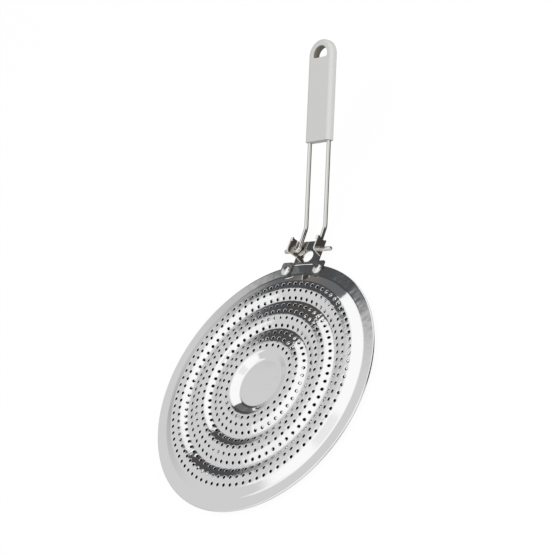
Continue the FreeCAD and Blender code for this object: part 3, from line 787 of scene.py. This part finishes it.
def bright_steel(name, colour, roughness, dent_scale, dent_depth, grain=(1, 1, 1), mark_depth=0):
    """Plated steel: shallow dents, fine grain, a little variation in gloss and press marks.

    The press marks are noise times the share that the mesh stores. Depths are in metres.
    """
    material, tree, shader, place = new_material(name)
    shader.inputs["Base Color"].default_value = (*colour, 1)
    shader.inputs["Metallic"].default_value = 1.0
    smears = add_noise(tree, place, SMEAR_SCALE, 3)
    rough = spread(tree, smears, roughness * SMEAR_LOW, roughness * SMEAR_HIGH)
    tree.links.new(rough, shader.inputs["Roughness"])
    dents = add_noise(tree, place, dent_scale, 2)
    fine = add_noise(tree, place, GRAIN_SCALE, 3, grain)
    bumps = [(dents, dent_depth), (fine, GRAIN_DEPTH)]
    if mark_depth:
        uneven = add_noise(tree, place, MARK_SCALE, 2)
        marks = arithmetic(tree, "MULTIPLY", uneven, stored(tree, "pressed"))
        bumps.append((marks, mark_depth))
    add_bump(tree, shader, bumps)
    return material


plate_steel = bright_steel(
    "bright pressed sheet", (0.95, 0.95, 0.955), roughness=0.045,
    dent_scale=60, dent_depth=0.00012, mark_depth=0.00009,
)
# Painted shade: the faces inside the double plate and the hole walls get a near-black colour for the
# shade that falls there.
inner_painted_shade = bright_steel(
    "inner face in painted shade", (0.09, 0.088, 0.085), roughness=0.45, dent_scale=60, dent_depth=0.0001,
)
bracket_steel = bright_steel(
    "bright stamped steel", (0.86, 0.84, 0.81), roughness=0.07, dent_scale=160, dent_depth=0.00006,
)
rivet_steel = bright_steel(
    "bright rivet", (0.92, 0.92, 0.91), roughness=0.1, dent_scale=300, dent_depth=0.0002,
)
wire_steel = bright_steel(
    "drawn wire", (0.78, 0.765, 0.74), roughness=0.1, dent_scale=120, dent_depth=0.0001,
    grain=(12, 1, 1),
)
steels = [plate_steel, inner_painted_shade, bracket_steel, rivet_steel, wire_steel]
print("steels:", [steel.name for steel in steels])

# %% [markdown]
# The bracket's cut faces get their own finish. On the lobes and the neck they are painted
# near-black as shade, and on the ears the front and top edges are pale and dull. The solid's
# faces carry no names, so a mask finds the cuts by the way a face looks and by where it lies.

# %% Cut edges of the bracket, with painted shade
SHEARED_EDGE_END = 0.1105
EAR_EDGE_LOW = 0.0125
UPRIGHT_LIMIT = 0.5
FACING_LIMIT = 0.6
# Near-black painted shade for the steep faces of the lobes and the neck.
PAINTED_CUT_SHADE_COLOUR = (0.13, 0.125, 0.12, 1)
SHEARED_ROUGHNESS = 0.4
PALE_METALLIC = 0.3
PALE_ROUGHNESS = 0.5


def split(tree, vector):
    """The outputs X, Y and Z of a vector socket."""
    node = tree.nodes.new("ShaderNodeSeparateXYZ")
    tree.links.new(vector, node.inputs["Vector"])
    return node.outputs


tree = bracket_steel.node_tree
shader = tree.nodes["Principled BSDF"]
facing = split(tree, tree.nodes.new("ShaderNodeNewGeometry").outputs["True Normal"])
place = split(tree, tree.nodes["Texture Coordinate"].outputs["Object"])

steep = arithmetic(tree, "ABSOLUTE", facing["Z"])
wall_like = arithmetic(tree, "LESS_THAN", steep, UPRIGHT_LIMIT)
near = arithmetic(tree, "LESS_THAN", place["Y"], SHEARED_EDGE_END)
# Painted shade: steep faces near the front, on the lobes and the neck, turn near-black.
painted_cut_shade = arithmetic(tree, "MULTIPLY", wall_like, near)
blend_input(tree, painted_cut_shade, shader.inputs["Base Color"], PAINTED_CUT_SHADE_COLOUR)
blend_input(tree, painted_cut_shade, shader.inputs["Roughness"], SHEARED_ROUGHNESS)

frontal = arithmetic(tree, "LESS_THAN", facing["Y"], -FACING_LIMIT)
level = arithmetic(tree, "GREATER_THAN", facing["Z"], FACING_LIMIT)
high = arithmetic(tree, "GREATER_THAN", place["Z"], EAR_EDGE_LOW)
top = arithmetic(tree, "MULTIPLY", level, high)
far = arithmetic(tree, "GREATER_THAN", place["Y"], SHEARED_EDGE_END)
edge = arithmetic(tree, "MAXIMUM", frontal, top)
pale = arithmetic(tree, "MULTIPLY", edge, far)
blend_input(tree, pale, shader.inputs["Metallic"], PALE_METALLIC)
blend_input(tree, pale, shader.inputs["Roughness"], PALE_ROUGHNESS)
print("the bracket's material has", len(tree.nodes), "nodes")

# %% [markdown]
# The grip is warm grey moulded plastic. It has a faint sheen, a very fine pebble from the mould,
# faint sinks where it cooled, and slightly uneven gloss. Moulded plastic has no grain or
# pattern, so plain noise does for all of these.

# %% Grip plastic
GRIP_COLOUR = (0.65, 0.652, 0.643, 1)
# The darker tint is painted shade inside the eye.
EYE_PAINTED_SHADE_COLOUR = (0.26, 0.235, 0.195, 1)
GRIP_GLOSS = (0.36, 0.5)
GLOSS_SCALE = 60
SINK_SCALE = 40
SINK_DEPTH = 0.0002
PEBBLE_SCALE = 2500
PEBBLE_DEPTH = 0.00001

grip_plastic, tree, shader, place = new_material("warm grey plastic")
shader.inputs["Base Color"].default_value = GRIP_COLOUR
shader.inputs["Specular IOR Level"].default_value = 0.4
shader.inputs["Sheen Weight"].default_value = 0.05
gloss = spread(tree, add_noise(tree, place, GLOSS_SCALE, 3), *GRIP_GLOSS)
tree.links.new(gloss, shader.inputs["Roughness"])
pebble = add_noise(tree, place, PEBBLE_SCALE, 2)
sink = add_noise(tree, place, SINK_SCALE, 1)
add_bump(tree, shader, [(sink, SINK_DEPTH), (pebble, PEBBLE_DEPTH)])
# Painted shade: the eye's inner rings are tinted darker.
blend_input(tree, stored(tree, "eye_painted_shade"), shader.inputs["Base Color"], EYE_PAINTED_SHADE_COLOUR)
print("the grip's material has", len(tree.nodes), "nodes")

# %% [markdown]
# Each piece gets its material. A plate has two: the first for the side that was modelled, the
# second for the side that its thickness adds. The two sides that face each other inside the
# double plate are painted near-black as shade, so the holes look dark.

# %% Materials on the pieces
def dress(piece, slot_name, *materials):
    """Materials for a piece: the first for its own faces, a second for those of its thickness."""
    piece.data.materials.clear()
    for material in materials:
        piece.data.materials.append(material)


dress(top_plate, "plate_metal", plate_steel, inner_painted_shade)
dress(bottom_plate, "plate_metal", inner_painted_shade, plate_steel)
for rivet in rivets:
    dress(rivet, "rivet_metal", rivet_steel)
dress(wire, "wire_metal", wire_steel)
dress(grip, "grip_plastic", grip_plastic)
bracket.material_slots[0].material = bracket_steel

# %% [markdown]
# The ground of the picture is plain white. A white world gives it, but at full strength it would
# also wash out every shadow. So rays that see the world directly find it white, and rays that
# only light things find it dimmer.

# %% World
WORLD_LIGHT = 0.62


def seen_directly(tree):
    """1 for camera, mirror and see-through rays, 0 for rays that only light things."""
    path = tree.nodes.new("ShaderNodeLightPath").outputs
    most = arithmetic(tree, "MAXIMUM", path["Is Camera Ray"], path["Is Glossy Ray"])
    return arithmetic(tree, "MAXIMUM", most, path["Is Transmission Ray"])


world = bpy.data.worlds.new("white studio")
world.use_nodes = True
bpy.context.scene.world = world
tree = world.node_tree
background = tree.nodes["Background"]
background.inputs["Color"].default_value = (1, 1, 1, 1)
strength = spread(tree, seen_directly(tree), WORLD_LIGHT, 1.0, from_low=0.0, from_high=1.0)
tree.links.new(strength, background.inputs["Strength"])
print("the world lights things with", WORLD_LIGHT, "and looks white")

# %% [markdown]
# The table has to be as white as the world round it and still show the part's soft shadow. White
# paint alone would look grey in the dimmed light. So the table mostly glows, and a share of grey
# paint under the glow takes the shadow. Mirror rays miss it, and the dome gives them a ground.

# %% White table
TABLE = 4.0
TABLE_GAP = 0.0003
TABLE_CORNERS = ((-1, -1), (1, -1), (1, 1), (-1, 1))
FLOOR_GREY = 0.5
FLOOR_GLOW = 1.1
FLOOR_WHITE = 0.85


def stage_mesh(name, points, faces, material):
    """A mesh in metres that belongs to the studio and not to the part."""
    mesh = bpy.data.meshes.new(name)
    mesh.from_pydata(points, [], faces)
    mesh.materials.append(material)
    thing = bpy.data.objects.new(name, mesh)
    bpy.context.scene.collection.objects.link(thing)
    print(name, "stands in the studio")
    return thing


floor_paint = bpy.data.materials.new("white table")
floor_paint.use_nodes = True
tree = floor_paint.node_tree
shader = tree.nodes["Principled BSDF"]
shader.inputs["Base Color"].default_value = (FLOOR_GREY, FLOOR_GREY, FLOOR_GREY, 1)
shader.inputs["Roughness"].default_value = 0.9
shader.inputs["Specular IOR Level"].default_value = 0.0
glow = tree.nodes.new("ShaderNodeEmission")
glow.inputs["Strength"].default_value = FLOOR_GLOW
blend = tree.nodes.new("ShaderNodeMixShader")
tree.links.new(arithmetic(tree, "MULTIPLY", seen_directly(tree), FLOOR_WHITE), blend.inputs["Fac"])
tree.links.new(shader.outputs["BSDF"], blend.inputs[1])
tree.links.new(glow.outputs["Emission"], blend.inputs[2])
tree.links.new(blend.outputs["Shader"], tree.nodes["Material Output"].inputs["Surface"])

corners = [(x * TABLE, y * TABLE, -TABLE_GAP) for x, y in TABLE_CORNERS]
floor = stage_mesh("white_table", corners, [(0, 1, 2, 3)], floor_paint)
floor.visible_glossy = False

# %% [markdown]
# A mirror-like disc is lit by what stands round it. Cards and walls could be modelled one by
# one, but a dome that only reflections see can hold them all, because a formula gives its glow
# in each direction. Soft steps are what the formula is made of.

# %% Soft steps
def ease(value, start, end):
    """0 before start, 1 after end and 3 t^2 - 2 t^3 between them."""
    t = np.clip((value - start) / (end - start), 0, 1)
    return t * t * (3 - 2 * t)


def window(value, rise_start, rise_end, fall_start, fall_end):
    """1 between two soft edges and 0 beyond them."""
    return ease(value, rise_start, rise_end) * (1 - ease(value, fall_start, fall_end))


def lay_over(ground, colour, share):
    """Cover a ground with a colour, by a share for each direction."""
    return ground + (colour - ground) * share[..., None]


print("a quarter of the way a soft step has reached", ease(0.25, 0, 1).round(2))

# %% [markdown]
# Most of the studio is white, with less light from below. Beyond the part stands a pale grey
# wall, which gives the disc its grey half. Directions are a bearing, counted from x towards y,
# and a height over the horizon, both in degrees, so the numbers below are edges to be read off.

# %% Walls of the studio
WALL_GREY = 0.64
DUSK = 0.45
NEAR_SHADE = 0.25
ZENITH_SHADE = 0.15
GROUND_GREY = 0.44


def studio_grey(bearing, height):
    """Level of ceiling, walls and ground: above the horizon 1 less the shades, below it grey."""
    wall_top = 51.5 + 0.35 * np.maximum(bearing - 200, 0)
    wall = window(bearing, 108, 130 + 26 * ease(height, 10, 35), 221, 226)
    wall *= 1 - 0.75 * ease(height, wall_top - 3, wall_top + 3) - 0.25 * ease(height, 65, 72)
    dusk = 1 - ease(height, -5, 28)
    above = 1 - (1 - WALL_GREY) * wall * (1 + DUSK * dusk)
    near_side = 1 - window(bearing, 70, 95, 215, 240)
    above -= NEAR_SHADE * near_side * (1 - ease(height, 45, 66)) + ZENITH_SHADE * ease(height, 81, 85)
    below = GROUND_GREY + 0.16 * near_side - 0.08 * window(bearing, 135, 140, 147, 155)
    below *= 1 - (0.9 - 0.8 * near_side) * ease(-height, 48, 62)
    return above + (below - above) * ease(-height, -2, 4)


# %% [markdown]
# One dark flag stands beside the part, as in a product studio. It draws the dark bands on the
# waves, so its curved top and its slanting right side are worth a formula of their own. It is a
# cool black with a warm stripe, a little lighter low down.

# %% Dark flag
FLAG_LEVEL = 0.07
FLAG_PEAK = 139.5
COOL_TINT = np.array([0.97, 1.0, 1.07])
WARM_TINT = np.array([1.1, 1.0, 0.92])


def dark_flag(bearing, height):
    """The flag's share and colour, and the share of the shade along its right and top edges.

    The top edge is 43.5 less 0.33 * (peak - bearing)^1.14 on one side of its peak, and less
    0.033 * (bearing - peak)^2 on the other.
    """
    right_edge = 144.3 + 0.17 * height
    softness = 2 + 5 * (1 - ease(height, 0, 35))
    top_edge = 43.5 - 0.33 * np.maximum(FLAG_PEAK - bearing, 0) ** 1.14
    top_edge -= 0.033 * np.maximum(bearing - FLAG_PEAK, 0) ** 2
    bottom_edge = -3 + 8 * (1 - ease(bearing, 128, 137))
    share = window(bearing, 104, 106, right_edge - softness, right_edge + softness)
    share *= window(height, bottom_edge - 2, bottom_edge + 2, top_edge - 1, top_edge + 1)
    shade = window(bearing, 134, 140, right_edge + 1, right_edge + 7)
    shade *= window(height, -5, 0, top_edge + 1, top_edge + 5)
    lit = (1 - ease(height - 1.2 * (133.6 - bearing), 11, 19)) * (1 - ease(bearing, 131, 135))
    level = FLAG_LEVEL + 0.06 * (1 - ease(height, 4, 20)) + 0.07 * lit
    warmth = window(bearing, 122, 129, 131, 140)
    return share, level[..., None] * lay_over(COOL_TINT, WARM_TINT, warmth), shade


# %% [markdown]
# Two more dark shapes complete the studio: a doorway on the handle's side, and the camera, which
# the disc mirrors as a round patch. Each is laid over what is there, the flag first.

# %% Glow of the studio
EDGE_SHADE = 0.22
CAMERA_COMPASS = 330.7
CAMERA_RISE = 38
CAMERA_LEVEL = 0.08
CAMERA_SHARE = 0.9
DOORWAY_LEVEL = 0.05


def studio_glow(bearing, height):
    """Red, green and blue level of the studio in each direction."""
    flag, flag_colour, shade = dark_flag(bearing, height)
    glow = (studio_grey(bearing, height) * (1 - EDGE_SHADE * shade))[..., None] * np.ones(3)
    glow = lay_over(glow, flag_colour, flag)
    sideways = (bearing - CAMERA_COMPASS) * np.cos(np.radians(CAMERA_RISE))
    away = np.hypot(sideways, height - CAMERA_RISE)
    glow = lay_over(glow, CAMERA_LEVEL * WARM_TINT, CAMERA_SHARE * (1 - ease(away, 13, 19)))
    doorway = window(bearing, 20, 25, 56, 64) * window(height, -62, -56, 60, 66)
    return lay_over(glow, DOORWAY_LEVEL * WARM_TINT, doorway)


bearing, height = np.meshgrid(np.arange(0, 360, 1.0), np.arange(-90, 91, 1.0))
colours = studio_glow(bearing, height)
print("the studio glows from", colours[..., 0].min().round(2), "to", colours[..., 0].max().round(2))

# %% [markdown]
# The dome itself is a ball of quads, one for each degree, with the glow stored at its points. Its
# end rows stop just short of the poles, so that no face collapses. A picture wrapped round
# the world could do the same, but then it would light everything. The dome is hidden from all
# rays except mirror rays.

# %% Dome for the reflections
DOME_RADIUS = 12.0
POLE_MARGIN = 0.999

dome_paint = bpy.data.materials.new("studio glow")
dome_paint.use_nodes = True
tree = dome_paint.node_tree
tree.nodes.remove(tree.nodes["Principled BSDF"])
glow = tree.nodes.new("ShaderNodeEmission")
tree.links.new(stored(tree, "glow", "Color"), glow.inputs["Color"])
tree.links.new(glow.outputs["Emission"], tree.nodes["Material Output"].inputs["Surface"])

a, h = np.radians(bearing), np.radians(height * POLE_MARGIN)
points = DOME_RADIUS * np.stack([np.cos(a) * np.cos(h), np.sin(a) * np.cos(h), np.sin(h)], -1)
faces = grid_faces(np.arange(a.size).reshape(a.shape), wrap_columns=True)
studio_dome = stage_mesh(
    "studio_dome", points.reshape(-1, 3).tolist(), faces.tolist(), dome_paint
)
opaque = np.concatenate([colours, np.ones((*a.shape, 1))], -1)
layer = studio_dome.data.attributes.new("glow", "FLOAT_COLOR", "POINT")
layer.data.foreach_set("color", opaque.reshape(-1).astype(np.float32))
studio_dome.visible_camera = False
studio_dome.visible_diffuse = False
studio_dome.visible_shadow = False
studio_dome.visible_transmission = False

# %% [markdown]
# The grip and the shadow need real light, which the dome doesn't give. Two soft square lamps do:
# one low at the side, which shapes the grip, and a weaker one overhead. Mirrors don't see them
# either, so the metal stays as the dome paints it.

# %% Lamps
LAMP_AIM = Vector((0, 0.1, 0))


def area_lamp(name, place, size, watts):
    """A square soft lamp that looks at the part."""
    data = bpy.data.lights.new(name, "AREA")
    data.size = size
    data.energy = watts
    lamp = bpy.data.objects.new(name, data)
    bpy.context.scene.collection.objects.link(lamp)
    lamp.location = place
    lamp.rotation_euler = (LAMP_AIM - Vector(place)).to_track_quat("-Z", "Y").to_euler()
    lamp.visible_glossy = False
    print(name, "gives", watts, "watts")


area_lamp("soft_side", place=(2.0, 0.1, 0.4), size=1.2, watts=24)
area_lamp("soft_top", place=(-0.2, -0.3, 2.0), size=1.6, watts=9)

# %% [markdown]
# The photograph was taken from the side of the handle, from 37 degrees up, with the camera
# rolled so that the handle stands up in the picture. A tracking constraint would aim a camera
# without its roll, so the camera's three axes are worked out here and put into its matrix.

# %% Camera
CAMERA_BEARING = np.radians(60.74)
CAMERA_HEIGHT = np.radians(37.21)
CAMERA_ROLL = np.radians(50.67)
CAMERA_DISTANCE = 1.0
AIM = Vector((0.0129, 0.0733, 0.0370))
FOCAL_PIXELS = 1313.07
PICTURE_PIXELS = 555
SENSOR_WIDTH = 36

back = Vector((
    np.sin(CAMERA_BEARING) * np.cos(CAMERA_HEIGHT),
    -np.cos(CAMERA_BEARING) * np.cos(CAMERA_HEIGHT),
    np.sin(CAMERA_HEIGHT),
))
level_right = Vector((np.cos(CAMERA_BEARING), np.sin(CAMERA_BEARING), 0))
level_up = back.cross(level_right)
up = level_up * np.cos(CAMERA_ROLL) + level_right * np.sin(CAMERA_ROLL)
right = up.cross(back)
camera_data = bpy.data.cameras.new("camera")
camera_data.sensor_width = SENSOR_WIDTH
camera_data.lens = SENSOR_WIDTH * FOCAL_PIXELS / PICTURE_PIXELS
camera = bpy.data.objects.new("camera", camera_data)
bpy.context.scene.collection.objects.link(camera)
turn = Matrix((right, up, back)).transposed().to_4x4()
camera.matrix_world = Matrix.Translation(AIM + back * CAMERA_DISTANCE) @ turn
bpy.context.scene.camera = camera
bpy.context.scene.view_settings.view_transform = "Standard"
print("camera at", [round(value, 3) for value in camera.location])
